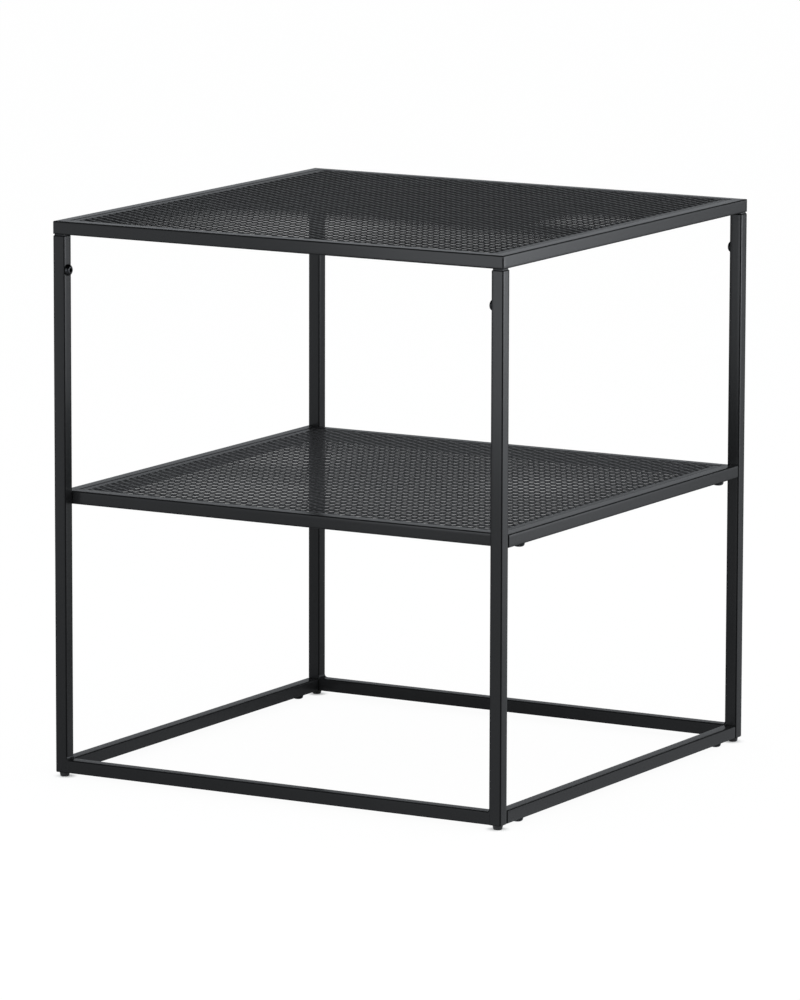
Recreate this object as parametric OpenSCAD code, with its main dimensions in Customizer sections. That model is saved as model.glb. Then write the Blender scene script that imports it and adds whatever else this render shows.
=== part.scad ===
/* [Table] */
// Width over the legs, along X
table_w = 500; // [300:5:700]
// Depth over the legs, along Y
table_d = 500; // [300:5:700]
// Height of the top frame above the floor
table_h = 550; // [400:0.5:700]
// Height of the shelf's top face above the floor
shelf_h = 283.5; // [150:0.1:350]

/* [Square tube] */
// Side of every tube
tube = 13; // [12:0.1:16]
// Wall of every tube
wall = 1; // [0.8:0.1:1.2]
// Outside radius along the tube's long edges
edge_r = 1.2; // [0.8:0.1:1.6]

/* [Joints] */
// Side clearance between a stub and the tube that it enters
stub_play = 0.2; // [0.1:0.05:0.3]
// Length of every stub
stub_len = 60; // [50:1:80]
// Open neck between each leg and the top frame
neck_gap = 1.2; // [0.5:0.1:2]
// Gap between the legs and what is sleeved between them
sleeve_gap = 0.8; // [0.4:0.1:1.5]

/* [Bolts] */
// Outside diameter of the bolt's thread
bolt_d = 6.35; // [5:0.05:6.35]
// Bolt length under the head
bolt_len = 9.5; // [8:0.5:10]
// Diameter of the round head
head_d = 11.2; // [9:0.1:11.5]
// Height of the round head
head_h = 3.4; // [2.5:0.1:4]
// Width across the flats of the hexagon socket
socket_af = 4; // [3:0.5:5]
// Distance from the table's front or back face to a shelf or base bolt
bolt_inset = 45; // [38:1:50]
// Distance from the top face down to a leg bolt
leg_bolt_drop = 48; // [40:1:55]

/* [Mesh sheets] */
// Thickness of the sheet
mesh_t = 1; // [0.8:0.1:2]
// How far the sheet lies below the tubes' top faces
mesh_drop = 0.3; // [0:0.1:2]
// Plain strip along the left and the right edge
side_margin = 6.7; // [4:0.1:12]
// Plain strip along the front and the back edge
end_margin = 2.5; // [1.5:0.1:12]
// Width of a strand between two gaps
strand_w = 5; // [2:0.1:6]
// Whole gaps across the sheet, along X
gaps_across = 6; // [5:1:9]
// Whole gaps along the sheet, along Y
gaps_along = 10; // [7:1:13]

/* [Glides] */
// Height of the foot below the leg
glide_h = 4.5; // [3:0.5:8]
// Foot diameter
glide_d = 9.8; // [9:0.1:10.5]
// Length of the plug inside the leg
plug_len = 14; // [10:1:20]

/* [Hidden] */

$fn = 48;
coat = [0.19, 0.2, 0.21];
coat_dark = [0.13, 0.135, 0.14];
black = [0.06, 0.06, 0.065];

// Legs stand with their outer faces on the table's outline; left and front are -1, right and back are 1.
leg_x = (table_w - tube) / 2;
leg_y = (table_d - tube) / 2;
leg_bottom = glide_h;
leg_top = table_h - tube - neck_gap;
base_z = glide_h + tube / 2;
shelf_z = shelf_h - tube / 2;
top_z = table_h - tube / 2;
inner_w = table_w - 2 * tube;
inner_d = table_d - 2 * tube;
shelf_d = inner_d - 2 * sleeve_gap;
bore = tube - 2 * wall;
stub = bore - 2 * stub_play;
hole_d = bolt_d + 0.4;
leg_bolt_z = table_h - leg_bolt_drop;
bolt_y = table_d / 2 - bolt_inset;
plug = bore - 0.1;

// A square with true round corners, centred.
module round_square(side, r) {
    square([side, side - 2 * r], center = true);
    square([side - 2 * r, side], center = true);
    for (x = [-1, 1], y = [-1, 1])
        translate([x, y] * (side / 2 - r))
            circle(r);
}

// A square tube along Z, centred on its length.
module tube_z(length) {
    linear_extrude(length, center = true)
        difference() {
            round_square(tube, edge_r);
            square(bore, center = true);
        }
}

module tube_x(length) {
    rotate([0, 90, 0])
        tube_z(length);
}

module tube_y(length) {
    rotate([90, 0, 0])
        tube_z(length);
}

// Leg with the hole for its bolt in the face that looks inwards along X.
module leg(x, y) {
    color(coat)
        difference() {
            translate([x * leg_x, y * leg_y, (leg_bottom + leg_top) / 2])
                tube_z(leg_top - leg_bottom);
            translate([x * leg_x, y * leg_y, leg_bolt_z])
                rotate([0, -x * 90, 0])
                    cylinder(h = tube, d = hole_d);
        }
}

// Rail welded between the two front or the two back legs, or between the shelf's side rails.
module cross_rail(y, z) {
    color(coat)
        translate([0, y, z])
            tube_x(inner_w);
}

// Rail sleeved between the leg frames, with a bolt hole near each end of its underside.
module side_rail(x, z) {
    color(coat)
        difference() {
            translate([x * leg_x, 0, z])
                tube_y(shelf_d);
            for (y = [-1, 1])
                translate([x * leg_x, y * bolt_y, z - tube])
                    cylinder(h = tube, d = hole_d);
        }
}

// Mitred rail of the top frame along X, cut at 45 degrees in plan at both ends.
module top_rail_x(y) {
    half_w = table_w / 2;
    color(coat)
        intersection() {
            translate([0, y * leg_y, top_z])
                tube_x(table_w);
            translate([0, 0, table_h - 2 * tube])
                linear_extrude(3 * tube)
                    polygon([
                        [-half_w, y * table_d / 2], [half_w, y * table_d / 2],
                        [half_w - tube, y * inner_d / 2], [tube - half_w, y * inner_d / 2]
                    ]);
        }
}

// The same along Y.
module top_rail_y(x) {
    half_d = table_d / 2;
    color(coat)
        intersection() {
            translate([x * leg_x, 0, top_z])
                tube_y(table_d);
            translate([0, 0, table_h - 2 * tube])
                linear_extrude(3 * tube)
                    polygon([
                        [x * table_w / 2, -half_d], [x * table_w / 2, half_d],
                        [x * inner_w / 2, half_d - tube], [x * inner_w / 2, tube - half_d]
                    ]);
        }
}

// Sheet of expanded metal, drawn with wider gaps than the real sheet. Diamonds lie in staggered rows, long way
// along X; k shrinks each cell so that strands of strand_w are left between the gaps. Cells on the edge of the
// field are cut in half by it.
module mesh_sheet(width, depth, top_face) {
    field_x = width / 2 - side_margin;
    field_y = depth / 2 - end_margin;
    cell_x = field_x / gaps_across;
    cell_y = field_y / gaps_along;
    k = 1 - strand_w / 2 * norm([cell_x, cell_y]) / (cell_x * cell_y);
    color(coat_dark)
        translate([0, 0, top_face - mesh_t])
            linear_extrude(mesh_t)
                difference() {
                    square([width, depth], center = true);
                    for (i = [-gaps_across : gaps_across], j = [-gaps_along : gaps_along])
                        if ((i + j + gaps_across + gaps_along) % 2 == 1)
                            translate([i * cell_x, j * cell_y])
                                polygon(gap_outline(
                                    k * cell_x, k * cell_y,
                                    i == -gaps_across, i == gaps_across, j == -gaps_along, j == gaps_along
                                ));
                }
}

// Corners of one gap: a diamond, less the corner that would lie outside the field.
function gap_outline(a, b, at_left, at_right, at_front, at_back) = [
    if (!at_right) [a, 0],
    if (!at_back) [0, b],
    if (!at_left) [-a, 0],
    if (!at_front) [0, -b]
];

// Solid square bar with a tapped hole across it, centred on its length along Z.
module stub_z(hole_z) {
    difference() {
        cube([stub, stub, stub_len], center = true);
        translate([0, 0, hole_z])
            rotate([0, 90, 0])
                cylinder(h = 2 * tube, d = bolt_d, center = true);
    }
}

// Stub under a corner of the top frame, inside the leg's open end.
module top_stub(x, y) {
    stub_mid = table_h - tube - stub_len / 2;
    color(coat_dark)
        translate([x * leg_x, y * leg_y, stub_mid])
            stub_z(leg_bolt_z - stub_mid);
}

// Stub on a leg's inner face, inside the end of a side rail; its tapped hole is vertical.
module side_stub(x, y, z) {
    stub_mid = inner_d / 2 - stub_len / 2;
    color(coat_dark)
        translate([x * leg_x, y * stub_mid, z])
            rotate([-y * 90, 0, 0])
                rotate([0, 0, 90])
                    stub_z(bolt_y - stub_mid);
}

// Button-head bolt: the head's underside is at z = 0, the head looks along +Z.
module bolt() {
    head_r = head_d / 2;
    crown_r = 0.6 * head_r;
    difference() {
        union() {
            rotate_extrude()
                polygon([[0, 0], [head_r, 0], [crown_r, head_h], [0, head_h]]);
            translate([0, 0, -bolt_len])
                cylinder(h = bolt_len, d = bolt_d - 0.1);
        }
        translate([0, 0, head_h / 3])
            cylinder(h = head_h, d = socket_af / cos(30), $fn = 6);
    }
}

module leg_bolts() {
    color(coat_dark)
        for (x = [-1, 1], y = [-1, 1])
            translate([x * inner_w / 2, y * leg_y, leg_bolt_z])
                rotate([0, -x * 90, 0])
                    bolt();
}

module rail_bolts(z) {
    color(coat_dark)
        for (x = [-1, 1], y = [-1, 1])
            translate([x * leg_x, y * bolt_y, z])
                rotate([180, 0, 0])
                    bolt();
}

// Plastic foot: a round foot under the leg and a square plug inside it.
module glide(x, y) {
    color(black)
        translate([x * leg_x, y * leg_y, 0]) {
            cylinder(h = glide_h, d = glide_d);
            translate([-plug / 2, -plug / 2, glide_h])
                cube([plug, plug, plug_len]);
        }
}

leg(-1, -1);  // front_left_leg
leg(1, -1);  // front_right_leg
leg(-1, 1);  // back_left_leg
leg(1, 1);  // back_right_leg

cross_rail(-leg_y, base_z);  // front_base_rail
cross_rail(leg_y, base_z);  // back_base_rail
side_rail(-1, base_z);  // left_base_rail
side_rail(1, base_z);  // right_base_rail

cross_rail((tube - shelf_d) / 2, shelf_z);  // shelf_front_rail
cross_rail((shelf_d - tube) / 2, shelf_z);  // shelf_back_rail
side_rail(-1, shelf_z);  // shelf_left_rail
side_rail(1, shelf_z);  // shelf_right_rail
mesh_sheet(inner_w, shelf_d - 2 * tube, shelf_h - mesh_drop);  // shelf_mesh

top_rail_x(-1);  // top_front_rail
top_rail_x(1);  // top_back_rail
top_rail_y(-1);  // top_left_rail
top_rail_y(1);  // top_right_rail
mesh_sheet(inner_w, inner_d, table_h - mesh_drop);  // top_mesh

top_stub(-1, -1);  // front_left_top_stub
top_stub(1, -1);  // front_right_top_stub
top_stub(-1, 1);  // back_left_top_stub
top_stub(1, 1);  // back_right_top_stub
side_stub(-1, -1, shelf_z);  // front_left_shelf_stub
side_stub(1, -1, shelf_z);  // front_right_shelf_stub
side_stub(-1, 1, shelf_z);  // back_left_shelf_stub
side_stub(1, 1, shelf_z);  // back_right_shelf_stub
side_stub(-1, -1, base_z);  // front_left_base_stub
side_stub(1, -1, base_z);  // front_right_base_stub
side_stub(-1, 1, base_z);  // back_left_base_stub
side_stub(1, 1, base_z);  // back_right_base_stub

leg_bolts();
rail_bolts(shelf_h - tube);  // shelf_bolts
rail_bolts(glide_h);  // base_bolts

glide(-1, -1);  // front_left_glide
glide(1, -1);  // front_right_glide
glide(-1, 1);  // back_left_glide
glide(1, 1);  // back_right_glide
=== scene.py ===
"""A square side table: welded frames of black square steel tube, with a top and a shelf of expanded steel mesh."""
import math

import bmesh
import bpy
import numpy as np
from mathutils import Matrix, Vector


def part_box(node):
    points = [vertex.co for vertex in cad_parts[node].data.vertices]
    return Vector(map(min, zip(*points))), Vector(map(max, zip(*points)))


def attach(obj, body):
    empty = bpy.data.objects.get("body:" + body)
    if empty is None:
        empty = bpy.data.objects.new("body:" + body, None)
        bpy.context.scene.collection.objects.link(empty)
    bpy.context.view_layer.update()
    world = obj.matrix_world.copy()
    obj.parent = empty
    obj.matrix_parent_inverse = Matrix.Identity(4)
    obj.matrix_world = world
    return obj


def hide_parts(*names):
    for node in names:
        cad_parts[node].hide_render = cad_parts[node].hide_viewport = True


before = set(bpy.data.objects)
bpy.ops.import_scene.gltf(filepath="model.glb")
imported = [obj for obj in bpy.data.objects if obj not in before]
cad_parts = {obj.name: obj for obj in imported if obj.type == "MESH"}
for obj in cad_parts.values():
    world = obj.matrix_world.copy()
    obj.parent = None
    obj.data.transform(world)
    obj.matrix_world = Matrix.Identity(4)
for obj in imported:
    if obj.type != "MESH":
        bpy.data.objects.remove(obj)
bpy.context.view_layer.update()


# Legs
# Four lengths of 13 mm square steel tube with a 1 mm wall, sawn off and rounded over at both ends, then
# powder-coated a satin near-black with the rest of their frame. Each stands open under the top frame.
MM = 0.001
LEGS = ("front_left", "front_right", "back_left", "back_right")
TUBE = 13.0 * MM
WALL = 1.0 * MM
CORNER = 1.2 * MM
CORNER_STEPS = 8
BORE_CORNER = 0.3 * MM
SHOULDER = 2.4 * MM
SHOULDER_TILT = math.radians(4.5)
LEG_ROUNDING = 0.95 * MM
# How much shade is painted along the legs' corners: in full.
LEG_EDGE_SHADE = 1.0
END_LENGTH = 6.0 * MM
BEFORE_ROUNDING = 0.3 * MM
INNER_CHAMFER = 0.1 * MM
BORE_DEPTH = 4.0 * MM
SAME_PLACE = 1e-7
# The near black that paints shade along the tubes' corners and rounded ends.
PAINTED_EDGE_SHADE = (0.002, 0.002, 0.0022)
CLOUDS_A_METRE = 9.0
PEEL_A_METRE = 1100.0
GRAIN_A_METRE = 420.0
GLOSS = 0.48
GLOSS_LOST = 0.45


class Link:
    """One output of a shader node. Sums and products of links and numbers add Math nodes; node() adds any other."""

    def __init__(self, socket):
        self.socket = socket

    def node(self, kind, settings=None, inputs=None, output=0):
        """Adds a node of a kind, sets it up, fills its sockets with numbers or links, and gives one output."""
        tree = self.socket.id_data
        node = tree.nodes.new("ShaderNode" + kind)
        for key, value in (settings or {}).items():
            if key == "stops":
                elements = node.color_ramp.elements
                while len(elements) < len(value):
                    elements.new(0.5)
                for stop, (place, shade) in zip(elements, value):
                    stop.position = place
                    stop.color = (shade, shade, shade, 1)
            else:
                setattr(node, key, value)
        for key, value in (inputs or {}).items():
            if isinstance(value, Link):
                tree.links.new(value.socket, node.inputs[key])
            else:
                node.inputs[key].default_value = value
        return Link(node.outputs[output])

    def maths(self, how, a, b):
        return self.node("Math", {"operation": how}, {0: a, 1: b})

    def __add__(self, other):
        return self.maths("ADD", self, other)

    __radd__ = __add__

    def __sub__(self, other):
        return self.maths("SUBTRACT", self, other)

    def __rsub__(self, other):
        return self.maths("SUBTRACT", other, self)

    def __mul__(self, other):
        return self.maths("MULTIPLY", self, other)

    __rmul__ = __mul__


def finish(name, **sockets):
    """A new finish: its material, its shader and the place on the object, in metres, as a link."""
    material = bpy.data.materials.new(name)
    material.use_nodes = True
    shader = material.node_tree.nodes["Principled BSDF"]
    for socket, value in sockets.items():
        shader.inputs[socket.replace("_", " ")].default_value = value
    place = Link(material.node_tree.nodes.new("ShaderNodeTexCoord").outputs["Object"])
    return material, shader, place


def drive(shader, socket, link):
    """Feeds a link into one socket of a shader."""
    shader.id_data.links.new(link.socket, shader.inputs[socket])


def noise(place, scale, detail):
    """Smooth random values round a half, with about as many humps to the metre as the scale says."""
    return place.node("TexNoise", {}, {"Vector": place, "Scale": scale, "Detail": detail})


def between(share, first, last):
    """The colour that runs from first to last as a link runs from 0 to 1. Either may be a link too."""
    first, last = (colour if isinstance(colour, Link) else (*colour, 1) for colour in (first, last))
    return share.node("Mix", {"data_type": "RGBA"}, {0: share, 6: first, 7: last}, 2)


def bump(height, strength, distance):
    """The tilt of a surface whose height is a link, from 0 to 1 over the given distance."""
    return height.node("Bump", {}, {"Strength": strength, "Distance": distance, "Height": height})


def powder_coat(name, dark, pale, gloss):
    """Satin powder coat: a fine orange-peel skin, faint broad clouding, and a duller skin over the edges, with
    painted shade.

    The colour runs from dark to pale with slow noise. The clear gloss is full on the flats and falls off along the
    corners, by the piece's own edge attribute, and the colour there is drawn towards near black: painted shade for
    the dark bands that rounded corners mirror."""
    material, shader, place = finish(
        name, Coat_IOR=1.36, Coat_Roughness=gloss, Specular_IOR_Level=0.03, Roughness=0.5)
    clouding = noise(place, CLOUDS_A_METRE, 3.0)
    peel = noise(place, PEEL_A_METRE, 2.0)
    grain = noise(place, GRAIN_A_METRE, 1.0)
    edge = place.node("Attribute", {"attribute_name": "edge"}, {}, "Fac")
    # Painted shade: along the corners and ends the colour is drawn towards near black and the clear coat is thinned,
    # for the dark bands that those rounded corners mirror.
    drive(shader, "Base Color", between(edge * 0.7, between(clouding, dark, pale), PAINTED_EDGE_SHADE))
    drive(shader, "Coat Weight", GLOSS - edge * GLOSS_LOST)
    drive(shader, "Roughness", 0.42 + clouding * 0.12 + edge * 0.1)
    drive(shader, "Normal", bump(peel + grain, 0.06, 0.0002))
    return material


FRAME_COAT = powder_coat("frame_coat", (0.0074, 0.0075, 0.0077), (0.0101, 0.0102, 0.0105), 0.18)


def grid_faces(rows, columns, close_rows=True):
    """Corner numbers of a grid's quads: row v, column u; columns wrap round, and rows too if they are to close."""
    index = np.arange(rows * columns).reshape(rows, columns)
    right = np.roll(index, -1, axis=1)
    quads = np.stack([index, right, np.roll(right, -1, axis=0), np.roll(index, -1, axis=0)], axis=-1)
    return (quads if close_rows else quads[:-1]).reshape(-1, 4)


def make_piece(name, points, faces, material, stands_for, edge=None, sharp=40):
    """A piece from its corners and quads: doubles merged, smooth but for edges sharper than the given angle.

    Where edge is given, it is 1 at the corners and ends where the powder coat paints shade, and the powder coat
    reads it."""
    mesh = bpy.data.meshes.new(name)
    mesh.from_pydata(points.reshape(-1, 3).tolist(), [], faces.tolist())
    if edge is not None:
        mesh.attributes.new("edge", "FLOAT", "POINT").data.foreach_set("value", edge.ravel().astype(np.float32))
    work = bmesh.new()
    work.from_mesh(mesh)
    bmesh.ops.remove_doubles(work, verts=work.verts, dist=SAME_PLACE)
    work.to_mesh(mesh)
    work.free()
    mesh.polygons.foreach_set("use_smooth", np.ones(len(mesh.polygons), bool))
    mesh.set_sharp_from_angle(angle=math.radians(sharp))
    mesh.materials.append(material)
    piece = bpy.data.objects.new(name, mesh)
    bpy.context.scene.collection.objects.link(piece)
    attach(piece, "root")
    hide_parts(*stands_for)
    return piece


def rounded_square(half, corner):
    """Points round a square of half side h with corners of radius r, counter-clockwise from the corner at +a, +b.

    The flats of a drawn tube sink a little before each corner: over the shoulder's length l they fall by
    l tan(d) / 2 * (1 - w)^2, with w from 0 at the arc to 1, so that the arc starts tilted by d. Corner k's arc is
    its centre plus r (cos t, sin t), with t from 90k + d to 90k + 90 - d. Also gives 1 inside an arc, else 0."""
    drop = SHOULDER * math.tan(SHOULDER_TILT) / 2
    middle = half - drop - corner * math.cos(SHOULDER_TILT)
    reach = middle + corner * math.sin(SHOULDER_TILT)
    k = np.radians(90) * np.arange(4)[:, None]
    angle = k + np.linspace(SHOULDER_TILT, math.radians(90) - SHOULDER_TILT, CORNER_STEPS + 1)
    centre = k + math.radians(45)
    arc = np.stack([middle * math.sqrt(2) * np.cos(centre) + corner * np.cos(angle),
                    middle * math.sqrt(2) * np.sin(centre) + corner * np.sin(angle)], axis=-1)
    w = np.array([1.1, 1.0, 0.75, 0.5, 0.25])
    height = half - drop * (1 - np.minimum(w, 1)) ** 2
    along = reach - SHOULDER * w
    before = np.stack([height * np.cos(k) - along * np.sin(k), height * np.sin(k) + along * np.cos(k)], axis=-1)
    last = k + math.radians(90)
    after = np.stack([height * np.cos(last) + along * np.sin(last),
                      height * np.sin(last) - along * np.cos(last)], axis=-1)[:, ::-1]
    ring = np.concatenate([before, arc, after], axis=1)
    on_arc = np.zeros(ring.shape[:2])
    on_arc[:, len(w) + 1:-len(w) - 1] = 1
    return ring.reshape(-1, 2), on_arc.ravel()


def tube_surface(low, high, axis, rounding, edge_shade, outer):
    """A square tube as one closed surface of two parameters, u round the section and v along the wall.

    v goes from the outside over the far end into the bore, down the bore, out over the near end and back up the
    outside. Over an end the section is inset by e (1 - cos t) while it moves out by e sin t, with t from 0 to 90
    degrees. Where outer gives the way that a mitred tube's outer face looks, a point at depth d behind that face
    is moved in by d, and the corner is rounded with radius r: a point at depth d, a distance s along from the
    corner, that lies outside the circle round (r, r) is drawn in to it. Gives the points and the edge mask of
    painted
    shade: 1 where an end or a mitred corner is rounded over, and edge_shade along the section's arcs."""
    middle = (low + high) / 2
    length = (high - low)[axis]
    turn = np.radians(np.linspace(0, 90, 6))
    start = [END_LENGTH, rounding + BEFORE_ROUNDING]
    if outer:
        start = [END_LENGTH, *CORNER * (1 - np.tan(np.radians(np.linspace(0, 40, 6))))]
    inset = [*[0] * len(start), *rounding * (1 - np.cos(turn)), WALL - INNER_CHAMFER, WALL, WALL]
    back = [*start, *rounding * (1 - np.sin(turn)), 0, INNER_CHAMFER, BORE_DEPTH]
    over = [*[0] * len(start), *np.minimum(1, np.sin(2 * turn) * 1.6), 0, 0, 0]
    stations = [(1, *station) for station in zip(inset, back, over)]
    stations += [(-1, *station) for station in zip(inset[::-1], back[::-1], over[::-1])]
    rings, painted_shade_masks = [], []
    for end, i, b, o in stations:
        section, on_arc = rounded_square(TUBE / 2 - i, max(CORNER - i, BORE_CORNER))
        ring = np.zeros((len(section), 3))
        ring[:, (axis + 1) % 3] = section[:, 0]
        ring[:, (axis + 2) % 3] = section[:, 1]
        # The mask of painted shade: full over the rounded ends, and along the outside's arcs by the tube's share of
        # it.
        painted_shade_mask = np.maximum(on_arc * edge_shade * (i < WALL / 2), o)
        if outer:
            depth = TUBE / 2 - ring @ outer
            place = np.stack([b + depth, depth], axis=-1)
            offset = place - CORNER
            reach = np.maximum(np.linalg.norm(offset, axis=-1), 1e-9)
            out = (offset < 0).all(axis=-1) & (reach > CORNER)
            place[out] = CORNER + offset[out] * CORNER / reach[out, None]
            ring[out] += np.outer(TUBE / 2 - place[out, 1] - ring[out] @ outer, outer)
            ring[:, axis] = end * (length / 2 - place[:, 0])
            painted_shade_mask[out] = 1
        else:
            ring[:, axis] = end * (length / 2 - b)
        rings.append(middle + ring)
        painted_shade_masks.append(painted_shade_mask)
    return np.array(rings), np.array(painted_shade_masks)


def tube_piece(node, rounding, edge_shade, grow=0.0, outer=None):
    """The tube that stands for a node: it lies in the node's own box, longer by grow at both ends.

    Its edge_shade is how much shade is painted along its corners, as darker colour and less gloss, from 0 to 1."""
    low, high = (np.array(corner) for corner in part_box(node))
    axis = int(np.argmax(high - low))
    low[axis] -= grow
    high[axis] += grow
    points, painted_shade_mask = tube_surface(low, high, axis, rounding, edge_shade, outer)
    return make_piece(
        node + "_tube", points, grid_faces(*points.shape[:2]), FRAME_COAT, [node], painted_shade_mask)


for leg in LEGS:
    tube_piece(leg + "_leg", LEG_ROUNDING, LEG_EDGE_SHADE)


# Base rails
# The same tube, at the feet. The front and the back rail are welded between their two legs and the welds ground
# flush, so that their faces run on into the legs'. The side rails are separate and slide over stubs on the legs.
# How much shade is painted along the rails' corners, less than along the legs'.
RAIL_EDGE_SHADE = 0.7
WELDED_ROUNDING = 0.2 * MM
SLEEVE_ROUNDING = 0.8 * MM
WELD = 3.0 * MM
WELD_SUNK = 1.5 * MM

for side in ("front", "back"):
    tube_piece(side + "_base_rail", WELDED_ROUNDING, RAIL_EDGE_SHADE, grow=CORNER)
for side in ("left", "right"):
    tube_piece(side + "_base_rail", SLEEVE_ROUNDING, RAIL_EDGE_SHADE)


def weld_fillet(x, y, z, way, radius):
    """A hollow weld in the corner between a rail's top at height z and a leg's face at x that looks along way.

    Its section is the corner square less a quarter circle about (x + way r, z + r), with its back sunk into both
    tubes; u runs round the section and v from front to back. At both ends the section's curve is drawn towards the
    corner, as the tubes' own corners are: by c (1 - cos t) while v moves out by c sin t. A point closes each end."""
    turn = np.radians(np.linspace(0, 90, 9))
    curve = np.stack([radius * (1 - np.cos(turn)), radius * (1 - np.sin(turn))], axis=-1)
    buried = np.array([[radius, -WELD_SUNK], [-WELD_SUNK, -WELD_SUNK], [-WELD_SUNK, radius]])
    ends = np.radians(np.linspace(0, 90, 6))
    draw = CORNER * (1 - np.cos(ends))
    move = CORNER * (1 - np.sin(ends))
    stations = [(-1, d, m) for d, m in zip(draw[::-1], move[::-1])] + [(1, d, m) for d, m in zip(draw, move)]
    rings = []
    for end, d, m in stations:
        bowed = curve - d * np.stack([np.cos(turn), np.sin(turn)], axis=-1)
        section = np.concatenate([bowed, buried])
        across = np.full(len(section), y + end * (TUBE / 2 - m))
        rings.append(np.stack([x + way * section[:, 0], across, z + section[:, 1]], axis=-1))
    first, last = (np.broadcast_to(ring.mean(axis=0), ring.shape) for ring in (rings[0], rings[-1]))
    points = np.array([first, *rings, last])
    return points if way > 0 else points[::-1]


for side in ("front", "back"):
    low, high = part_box(side + "_base_rail")
    middle = (low[1] + high[1]) / 2
    beads = [weld_fillet(low[0], middle, high[2], 1, WELD), weld_fillet(high[0], middle, high[2], -1, WELD)]
    quads = grid_faces(*beads[0].shape[:2], close_rows=False)
    count = beads[0].shape[0] * beads[0].shape[1]
    make_piece(
        side + "_base_welds", np.concatenate(beads), np.concatenate([quads, quads + count]),
        FRAME_COAT, [], np.zeros(2 * count))


# Shelf frame
# Two side rails that slide over the legs' stubs like the base's, with a front and a back rail welded between
# them. The expanded mesh is welded inside.
for side in ("front", "back"):
    tube_piece("shelf_" + side + "_rail", WELDED_ROUNDING, RAIL_EDGE_SHADE, grow=CORNER)
for side in ("left", "right"):
    tube_piece("shelf_" + side + "_rail", SLEEVE_ROUNDING, RAIL_EDGE_SHADE)


# Top frame
# Four rails of the same tube, sawn to 45 degrees, welded into a square and ground smooth on the outside, with
# the four upright corners rounded over.
MITRE_ROUNDING = 0.05 * MM

for side, outer in (("front", (0, -1, 0)), ("back", (0, 1, 0)), ("left", (-1, 0, 0)), ("right", (1, 0, 0))):
    tube_piece("top_" + side + "_rail", MITRE_ROUNDING, RAIL_EDGE_SHADE, outer=outer)


# Mesh sheets
# Expanded steel: a sheet slit in staggered rows, pulled out into diamonds and rolled flat again, cut to fit inside
# its frame, welded along the edge and coated with it. The plain strips down the left and the right are uncut.
LONG_PITCH = 18.45 * MM
SHORT_PITCH = 11.0 * MM
STRAND = 2.1 * MM
SIDE_STRIP = 6.7 * MM
END_STRIP = 2.5 * MM
SHEET = 1.28 * MM
SHELF_CROWN = 0.04 * MM
TOP_CROWN = 0.12 * MM
GAP_SWELL = 1.12
EDGE_SPREAD = 0.45
SHELF_THINNER = [((-158, 50), (45, 50), 0.1), ((-95, -140), (75, 65), 0.1), ((135, 30), (45, 50), 0.1)]
TOP_THINNER = [((-70, -150), (120, 105), 0.105), ((80, -170), (205, 90), 0.14), ((195, 27), (45, 52), 0.15)]

# The meshes' coats are the tubes' powder painted paler: painted light for the light that the strands catch. The
# shelf's is paler still, painting the light that the shelf gets from the floor below.
TOP_MESH_LIT_COAT = powder_coat("top_mesh_painted_light_coat", (0.009, 0.0091, 0.0093), (0.0118, 0.0119, 0.0122), 0.26)
SHELF_MESH_LIT_COAT = powder_coat("shelf_mesh_painted_light_coat", (0.0165, 0.0167, 0.0171), (0.0205, 0.0207, 0.0212), 0.26)


def diamond_ring(half_long, half_short, power):
    """Twelve points round a diamond of the given half diagonals; power above 1 swells its sides and rounds it.

    With w from 0 to 1 along a side, the straight side is (1 - w, w); dividing it by its own power norm
    (x^p + y^p)^(1/p) puts it on the curve |x|^p + |y|^p = 1. Each quarter is the first one turned by 90 degrees."""
    w = np.array([0, 1, 2]) / 3
    side = np.stack([1 - w, w], axis=-1)
    side /= (side ** power).sum(axis=-1, keepdims=True) ** (1 / power)
    quarter = np.array([[0, 1], [-1, 0]])
    ring = np.concatenate([side, side @ quarter, -side, -side @ quarter])
    return ring * [half_long, half_short]


def mesh_cells(centres, half_long, half_short, field, sheet):
    """Outer and gap outlines, 12 points each, of every diamond cell of the sheet.

    A cell's outline runs along the middle of its four strands, and its gap is the same diamond drawn in by half a
    strand. Along the edge of the field a gap is cut off by that edge. There the outline goes out to the sheet's
    edge: its points beyond the field spread out along that edge, to the whole or a share of the half diagonal."""
    half = (half_long, half_short)
    straight = diamond_ring(*half, 1.0)
    slope = math.hypot(*half) / (half_long * half_short)
    shrink = 1 - STRAND / 2 * slope
    gap = diamond_ring(half_long * shrink, half_short * shrink, GAP_SWELL)
    outline = np.repeat(straight[None], len(centres), axis=0)
    opening = np.repeat(gap[None], len(centres), axis=0)
    reach = sheet - field
    for axis, sign in ((0, -1), (0, 1), (1, -1), (1, 1)):
        cut = np.isclose(centres[:, axis], sign * field[axis])
        other = 1 - axis
        beyond = sign * straight[:, axis] > 1e-9
        near = beyond & (sign * straight[:, axis] <= 0.99 * half[axis])
        spread = np.where(np.abs(straight[near, other]) > 0.5 * half[other], 1.0, EDGE_SPREAD)
        edge = outline[cut]
        edge[:, beyond, axis] = sign * reach[axis]
        edge[:, near, other] = np.sign(straight[near, other]) * half[other] * spread
        outline[cut] = edge
        hole = opening[cut]
        hole[:, beyond, axis] = 0
        opening[cut] = hole
    outline = np.clip(outline + centres[:, None], -sheet, sheet) - centres[:, None]
    return outline, opening


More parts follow.
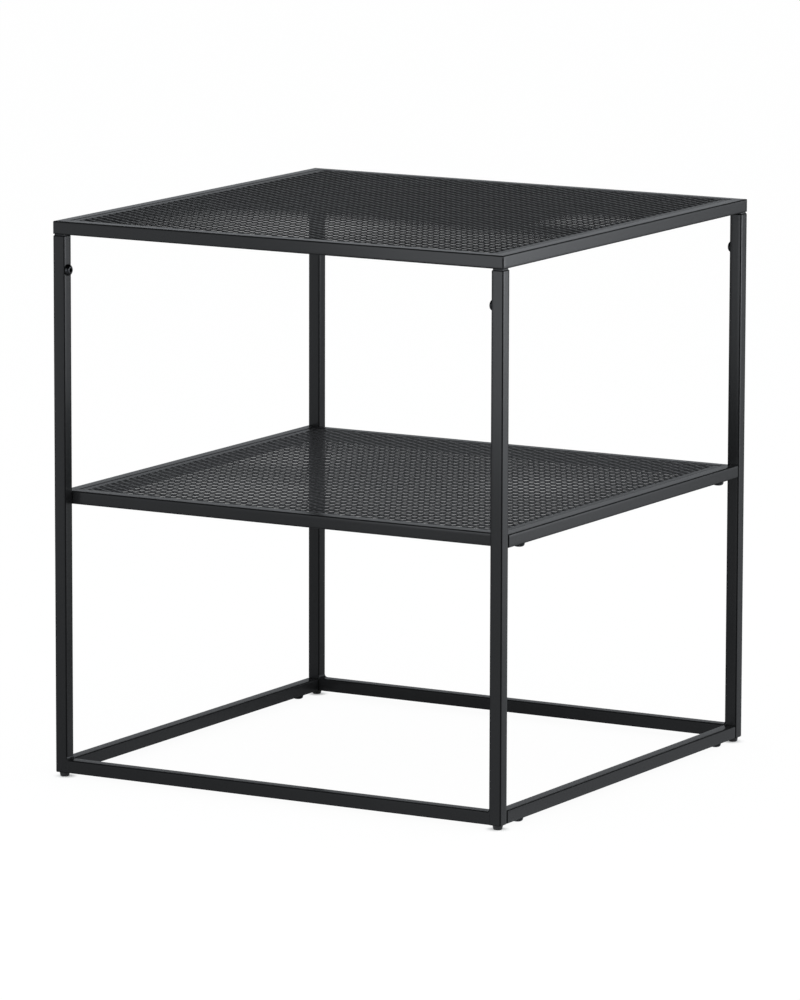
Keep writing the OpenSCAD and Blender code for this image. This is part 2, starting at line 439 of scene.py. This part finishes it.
def mesh_sheet(node, coat, crown, thinner):
    """The sheet that stands for a node: cells of 12 top, 12 wall and 12 bottom quads, and the cut edge all round.

    A strand is crowned: both its faces draw in by the crown from its middle line to the edge of a gap. The rolls
    press the sheet unevenly: in each patch of thinner (centre, half widths, depth, in mm) it is thinner by the
    depth over 1 + a^4 + b^4, with a and b the distance from the centre in half widths along the two sides."""
    low, high = (np.array(corner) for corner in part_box(node))
    middle, sheet = (low + high)[:2] / 2, (high - low)[:2] / 2
    field = sheet - [SIDE_STRIP, END_STRIP]
    columns, rows = round(2 * field[0] / LONG_PITCH), round(2 * field[1] / SHORT_PITCH)
    half_long, half_short = field[0] / columns, field[1] / rows
    i, j = np.meshgrid(np.arange(-columns, columns + 1), np.arange(-rows, rows + 1))
    keep = (i + j) % 2 == (columns + rows) % 2
    centres = np.stack([i[keep] * half_long, j[keep] * half_short], axis=-1)
    outline, opening = mesh_cells(centres, half_long, half_short, field, sheet)
    rings = []
    for shape, inset, pressed in ((outline, 0, 0), (opening, -crown, 0), (opening, crown, 1), (outline, 0, 1)):
        place = shape + centres[:, None] + middle
        thickness = np.full(place.shape[:2], SHEET)
        for centre, spread, depth in thinner:
            away = (place / MM - centre) / spread
            thickness -= depth * MM / (1 + (away ** 4).sum(axis=-1))
        height = high[2] + inset - pressed * thickness
        rings.append(np.concatenate([place, height[..., None]], axis=-1))
    index = np.arange(len(centres) * 48).reshape(-1, 4, 12)
    ahead = np.roll(index, -1, axis=2)
    bands = [np.stack([index[:, k], ahead[:, k], ahead[:, k + 1], index[:, k + 1]], axis=-1) for k in range(3)]
    at_edge = np.isclose(np.abs(outline + centres[:, None]), sheet)
    on_edge = (at_edge & np.roll(at_edge, -1, axis=1)).any(axis=-1)
    rim = np.stack([index[:, 3], ahead[:, 3], ahead[:, 0], index[:, 0]], axis=-1)[on_edge]
    faces = np.concatenate([band.reshape(-1, 4) for band in bands] + [rim])
    return make_piece(node + "_sheet", np.stack(rings, axis=1), faces, coat, [node], sharp=35)


mesh_sheet("shelf_mesh", SHELF_MESH_LIT_COAT, SHELF_CROWN, SHELF_THINNER)
mesh_sheet("top_mesh", TOP_MESH_LIT_COAT, TOP_CROWN, TOP_THINNER)


# Stubs
# Solid square steel bars, welded under the top frame's corners and on the legs' inner sides, that carry the
# tubes slid over them. Only a dark sliver of each shows in the gap at its joint.
STUB_COAT = powder_coat("stub_coat", (0.006, 0.0063, 0.007), (0.008, 0.0084, 0.009), 0.4)

for leg in LEGS:
    for level in ("top", "shelf", "base"):
        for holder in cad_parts[leg + "_" + level + "_stub"].material_slots:
            holder.material = STUB_COAT


# Bolts
# Button-head steel bolts with a hexagon socket, blackened, which clamp each tube to the stub inside it: one
# through the inner side of every leg, and one up through the underside of each end of every side rail.
HEAD_RADIUS = 5.6 * MM
HEAD_HEIGHT = 3.4 * MM
HEAD_RIM = 0.5 * MM
HEAD_FLAT = 0.52 * HEAD_RADIUS
HEAD_CHAMFER = 0.2 * MM
SHANK_RADIUS = 3.1 * MM
SHANK = 9.5 * MM
TIP_CHAMFER = 0.6 * MM
SOCKET = 2.0 * MM
SOCKET_MOUTH = 0.25 * MM
SOCKET_FLOOR = 1.3 * MM
DRILL_POINT = 1.0 * MM
TURN_STEPS = 48


def black_bolt():
    """Blackened steel: a dark metal, a little mottled, with patches that are paler and less smooth."""
    material, shader, place = finish("bolt_finish", Metallic=1.0)
    mottle = noise(place, 900.0, 3.0)
    drive(shader, "Base Color", between(mottle, (0.012, 0.012, 0.013), (0.028, 0.029, 0.03)))
    drive(shader, "Roughness", 0.2 + mottle * 0.15)
    drive(shader, "Normal", bump(mottle, 0.05, 0.0001))
    return material


BOLT_FINISH = black_bolt()


def turned(rows):
    """A turned shape about Z, u round the axis and v along the rows of (height, radius, sides).

    A row with n sides is a polygon with apothem p instead of a circle: its radius at angle u is
    p / cos((u + 180/n) mod 360/n - 180/n), so that its flats face the axes."""
    u = np.radians(np.arange(TURN_STEPS) * 360 / TURN_STEPS)
    rings = []
    for height, radius, sides in rows:
        reach = np.full(TURN_STEPS, radius)
        if sides:
            half = math.pi / sides
            reach = radius / np.cos((u + half) % (2 * half) - half)
        rings.append(np.stack([reach * np.cos(u), reach * np.sin(u), np.full(TURN_STEPS, height)], axis=-1))
    return np.array(rings)


def bolt_rows():
    """The bolt from the tip of its shank to the bottom of its socket; the crown is a quarter of an ellipse."""
    t = np.radians(np.linspace(0, 90, 9))
    crown_height = HEAD_RIM + (HEAD_HEIGHT - HEAD_RIM) * np.sin(t)
    crown_radius = HEAD_FLAT + (HEAD_RADIUS - HEAD_FLAT) * np.cos(t)
    return [
        (-SHANK, 0, 0), (-SHANK, SHANK_RADIUS - TIP_CHAMFER, 0), (TIP_CHAMFER - SHANK, SHANK_RADIUS, 0),
        (0, SHANK_RADIUS, 0), (0, HEAD_RADIUS - HEAD_CHAMFER, 0), (HEAD_CHAMFER, HEAD_RADIUS, 0),
        *[(height, radius, 0) for height, radius in zip(crown_height, crown_radius)],
        (HEAD_HEIGHT, SOCKET + SOCKET_MOUTH, 6), (HEAD_HEIGHT - HEAD_CHAMFER, SOCKET, 6),
        (SOCKET_FLOOR, SOCKET, 6), (DRILL_POINT, 0, 0)]


def bolt_set(node, places, heads):
    """A piece of four bolts. Each bolt's axis is turned to the way that its head looks."""
    one = turned(bolt_rows())
    faces = grid_faces(*one.shape[:2], close_rows=False)
    points, quads = [], []
    for place, head in zip(places, heads):
        turn = np.array([[1, 0, 0], [0, -1, 0], [0, 0, -1]])
        if head[0]:
            turn = np.array([[0, 0, head[0]], [0, 1, 0], [-head[0], 0, 0]])
        quads.append(faces + len(points) * one.shape[0] * one.shape[1])
        points.append(one.reshape(-1, 3) @ turn.T + place)
    make_piece(
        node + "_set", np.concatenate(points), np.concatenate(quads), BOLT_FINISH, [node], sharp=30)


leg_height = sum(corner[2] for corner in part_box("leg_bolts")) / 2
places, heads = [], []
for x in (-1, 1):
    for y in (-1, 1):
        low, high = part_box(("back_" if y > 0 else "front_") + ("right_leg" if x > 0 else "left_leg"))
        places.append(((low if x > 0 else high)[0], (low[1] + high[1]) / 2, leg_height))
        heads.append((-x, 0, 0))
bolt_set("leg_bolts", places, heads)
for level, rails in (("shelf_bolts", "shelf_{}_rail"), ("base_bolts", "{}_base_rail")):
    places = []
    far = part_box(level)[1][1] - HEAD_RADIUS
    for side in ("left", "right"):
        low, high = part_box(rails.format(side))
        places += [((low[0] + high[0]) / 2, y, low[2]) for y in (-far, far)]
    bolt_set(level, places, [(0, 0, -1)] * 4)


# Glides
# Moulded black plastic feet: a short round foot, narrower towards the floor, with a square plug pressed into the
# bottom of each leg.
GLIDE_PLUG = 5.4 * MM
FOOT_FLAT = 3.4 * MM
FOOT_ROUNDING = 1.1 * MM
FOOT_SHOULDER = 5.0 * MM
FOOT_COLLAR = 5.4 * MM
COLLAR_HEIGHT = 0.4 * MM
COLLAR_EDGE = 0.05 * MM
UNDER_TUBE = 0.02 * MM
SCUFF_HEIGHT = 2.0 * MM


def ramp(link, start, end, low, high, how="SMOOTHSTEP"):
    """Runs from low to high as a link runs from start to end, and stays at low before and at high after."""
    return link.node("MapRange", {"interpolation_type": how}, {
        "Value": link, "From Min": start, "From Max": end, "To Min": low, "To Max": high})


def black_plastic():
    """Moulded plastic: near black, matt, with a fine spark-eroded grain and scuffs round the rim by the floor."""
    material, shader, place = finish("glide_plastic", Specular_IOR_Level=0.4)
    grain = noise(place, 1600.0, 2.0)
    height = place.node("SeparateXYZ", {}, {0: place}, "Z")
    scuff = ramp(height, 0.0, SCUFF_HEIGHT, 1.0, 0.0, "LINEAR") * grain
    drive(shader, "Base Color", between(scuff, (0.006, 0.006, 0.0063), (0.02, 0.02, 0.021)))
    drive(shader, "Roughness", 0.48 + scuff * 0.3)
    drive(shader, "Normal", bump(grain, 0.1, 0.0001))
    return material


GLIDE_PLASTIC = black_plastic()


def glide_rows(foot, plug):
    """The foot from the middle of its underside, with a rounded lower edge, up to the top of its plug.

    Over the rounded edge the radius grows by e sin t while the height grows by e (1 - cos t)."""
    t = np.radians(np.linspace(0, 90, 6))
    edge_height = FOOT_ROUNDING * (1 - np.cos(t))
    edge_radius = FOOT_FLAT + FOOT_ROUNDING * np.sin(t)
    return [
        (0, 0, 0), *[(height, radius, 0) for height, radius in zip(edge_height, edge_radius)],
        (foot - COLLAR_HEIGHT, FOOT_SHOULDER, 0), (foot - COLLAR_EDGE, FOOT_COLLAR, 0),
        (foot - UNDER_TUBE, FOOT_COLLAR, 0), (foot - UNDER_TUBE, GLIDE_PLUG, 4),
        (plug, GLIDE_PLUG, 4), (plug, 0, 0)]


for leg in LEGS:
    low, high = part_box(leg + "_leg")
    shape = turned(glide_rows(low[2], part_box(leg + "_glide")[1][2]))
    shape = shape + [(low[0] + high[0]) / 2, (low[1] + high[1]) / 2, 0]
    make_piece(
        leg + "_glide_foot", shape, grid_faces(*shape.shape[:2], close_rows=False),
        GLIDE_PLASTIC, [leg + "_glide"], sharp=35)


# Studio floor and sky
# A plain white floor that runs out past the view, and a white sweep beyond it, which fades to a dark ceiling. The
# camera sees both as white. The gloss sees them a little cool, and brighter in some directions than in others.
FLOOR_REACH = 20.0
FOOT_REACH = 0.2435
FLOOR_WHITE = (0.94, 0.92, 0.88)
WHITE = (1.0, 1.0, 1.0)
COOL = (0.96, 1.0, 1.05)
RIGHT_BACK = (0.497, 0.868)
LEFT_BACK = (-0.497, 0.868)
FLOOR_DEPTH = 3.4
SWEEP = [(0.0, 1.0), (0.13, 0.76), (0.16, 0.8), (0.21, 0.96), (0.275, 0.05), (1.0, 0.05)]


def rays_shown(tree):
    """Two links in a node tree. The first is 1 for rays from the camera, in a reflection or through glass, else 0.

    The second is 1 only for rays straight from the camera."""
    to_camera = Link(tree.nodes.new("ShaderNodeLightPath").outputs["Is Camera Ray"])
    glossy = Link(to_camera.socket.node.outputs["Is Glossy Ray"])
    through = Link(to_camera.socket.node.outputs["Is Transmission Ray"])
    return to_camera.maths("MAXIMUM", to_camera, glossy.maths("MAXIMUM", glossy, through)), to_camera


def cooled(level, to_camera):
    """White for the camera, and the studio's cool white at the given level for every other ray."""
    tint = level.node("VectorMath", {"operation": "SCALE"}, {0: COOL, "Scale": level}, "Vector")
    return between(to_camera, tint, WHITE)


floor_mesh = bpy.data.meshes.new("floor")
floor_mesh.from_pydata(
    [(x * FLOOR_REACH, y * FLOOR_REACH, 0) for x, y in ((-1, -1), (1, -1), (1, 1), (-1, 1))], [], [(0, 1, 2, 3)])
floor = bpy.data.objects.new("floor", floor_mesh)
bpy.context.scene.collection.objects.link(floor)
floor_finish = bpy.data.materials.new("floor_finish")
floor_finish.use_nodes = True
floor_tree = floor_finish.node_tree
floor_tree.nodes.clear()
matt = Link(floor_tree.nodes.new("ShaderNodeBsdfDiffuse").outputs[0])
matt.socket.node.inputs["Color"].default_value = (*FLOOR_WHITE, 1)
shown_share, to_camera = rays_shown(floor_tree)

# How bright the gloss sees the floor, by its place: away is metres behind the middle of the table along the line
# to the right back, and slant is metres to the right of that line.
spot = Link(floor_tree.nodes.new("ShaderNodeTexCoord").outputs["Object"])
across = spot.node("SeparateXYZ", {}, {0: spot}, "X")
along = Link(across.socket.node.outputs["Y"])
slant = across * RIGHT_BACK[1] - along * RIGHT_BACK[0]
away = across * RIGHT_BACK[0] + along * RIGHT_BACK[1]
front_lit = ramp(slant, 0.0, 0.4, 0.51, 0.98)
left_more = ramp(slant, -0.1, 0.1, 1.0, 0.13)
front_rise = ramp(away, -0.5, -3.2, 0.0, left_more, "LINEAR")
back_lit = ramp(slant, -0.12, 0.1, 0.26, 0.74)
far = ramp(away, 0.0, FLOOR_DEPTH, 0.0, FLOOR_DEPTH, "LINEAR")
back_rise = ramp(slant, -0.12, 0.1, 0.03, 0.1)
lamp_side = ramp(slant, 0.05, 0.4, 0.0, 0.26)
in_front = front_lit + front_rise
behind = back_lit + far * back_rise + far * far * lamp_side
floor_level = ramp(away, -0.1, 0.1, in_front, behind)

# The floor goes dark right round each foot, where the foot shades it.
to_foot = [way.maths("ABSOLUTE", way, 0) - FOOT_REACH for way in (across, along)]
foot_gap = slant.maths("SQRT", to_foot[0] * to_foot[0] + to_foot[1] * to_foot[1], 0)
open_floor = ramp(foot_gap, 0.005, 0.014, 0.3, 0.95)
white = matt.node("Emission", {}, {"Color": cooled(floor_level, to_camera), "Strength": 1.0})
mixed = matt.node("MixShader", {}, {0: shown_share * open_floor, 1: matt, 2: white})
floor_out = floor_tree.nodes.new("ShaderNodeOutputMaterial")
floor_tree.links.new(mixed.socket, floor_out.inputs["Surface"])
floor_mesh.materials.append(floor_finish)

world = bpy.data.worlds.new("studio")
bpy.context.scene.world = world
world.use_nodes = True
world.cycles.sampling_method = "NONE"  # The sky is so even that no ray has to be aimed at it.
sky_tree = world.node_tree
sky_tree.nodes.clear()
direction = Link(sky_tree.nodes.new("ShaderNodeTexCoord").outputs["Generated"])
height = direction.node("SeparateXYZ", {}, {0: direction}, "Z")
east, north = (Link(height.socket.node.outputs[name]) for name in ("X", "Y"))


def towards(way, start, end, full):
    """Runs from 1 to full as a direction turns to face the given way, by its share along that way."""
    return ramp(east * way[0] + north * way[1], start, end, 1.0, full)


sweep = direction.node("ValToRGB", {"stops": SWEEP}, {0: height})
sky_level = sweep * towards(RIGHT_BACK, 0.75, 0.9, 1.5) * towards(LEFT_BACK, 0.6, 0.9, 0.7)
shown_share, to_camera = rays_shown(sky_tree)
even = direction.node("Background", {}, {"Color": (*COOL, 1), "Strength": 1.0})
shown = direction.node("Background", {}, {"Color": cooled(sky_level, to_camera), "Strength": 1.0})
sky = direction.node("MixShader", {}, {0: shown_share, 1: even, 2: shown})
sky_out = sky_tree.nodes.new("ShaderNodeOutputWorld")
sky_tree.links.new(sky.socket, sky_out.inputs["Surface"])


# Soft boxes
# Four upright soft boxes out of the picture: one in front on the left, a low one and a strip behind on the right,
# and a pale one behind on the left. The upper parts of the faces mirror them, so they are brighter at the top.
def soft_box(name, place, size, radiance):
    """A rectangular lamp of the given width, height and radiance that looks level at the middle of the table."""
    data = bpy.data.lights.new(name, "AREA")
    data.shape = "RECTANGLE"
    data.size, data.size_y = size
    data.energy = radiance * math.pi * size[0] * size[1]
    data.color = COOL
    lamp = bpy.data.objects.new(name, data)
    bpy.context.scene.collection.objects.link(lamp)
    lamp.location = place
    lamp.rotation_euler = (math.radians(90), 0, math.atan2(place[0], -place[1]))
    lamp.visible_camera = False


soft_box("front_left_box", (-0.18, -1.6, 0.68), (0.97, 1.1), 3.6)
soft_box("back_right_box", (2.95, 2.45, 0.27), (1.75, 0.54), 5.2)
soft_box("back_right_strip", (1.81, 1.35, 0.88), (1.35, 0.65), 5.8)
soft_box("back_left_box", (-1.5, 2.6, 1.15), (1.7, 0.4), 0.18)


# Camera
# A long lens, seven metres away, in front of the table's right-hand side and a little above its top.
CAMERA_PLACE = (3.44580, -6.00664, 1.43161)
CAMERA_TURN = 29.87245
CAMERA_DOWN = 9.59716
CAMERA_ROLL = 0.15576
FRAME_WIDTH = 36.0
LENS = 7.09913 * FRAME_WIDTH

camera_data = bpy.data.cameras.new("camera")
camera_data.sensor_width = FRAME_WIDTH
camera_data.lens = LENS
camera_data.clip_end = 200.0
camera = bpy.data.objects.new("camera", camera_data)
bpy.context.scene.collection.objects.link(camera)
camera.matrix_world = (
    Matrix.Translation(CAMERA_PLACE)
    @ Matrix.Rotation(math.radians(CAMERA_TURN), 4, "Z")
    @ Matrix.Rotation(math.radians(90 - CAMERA_DOWN), 4, "X")
    @ Matrix.Rotation(math.radians(CAMERA_ROLL), 4, "Z"))
bpy.context.scene.camera = camera
bpy.context.scene.view_settings.view_transform = "Standard"
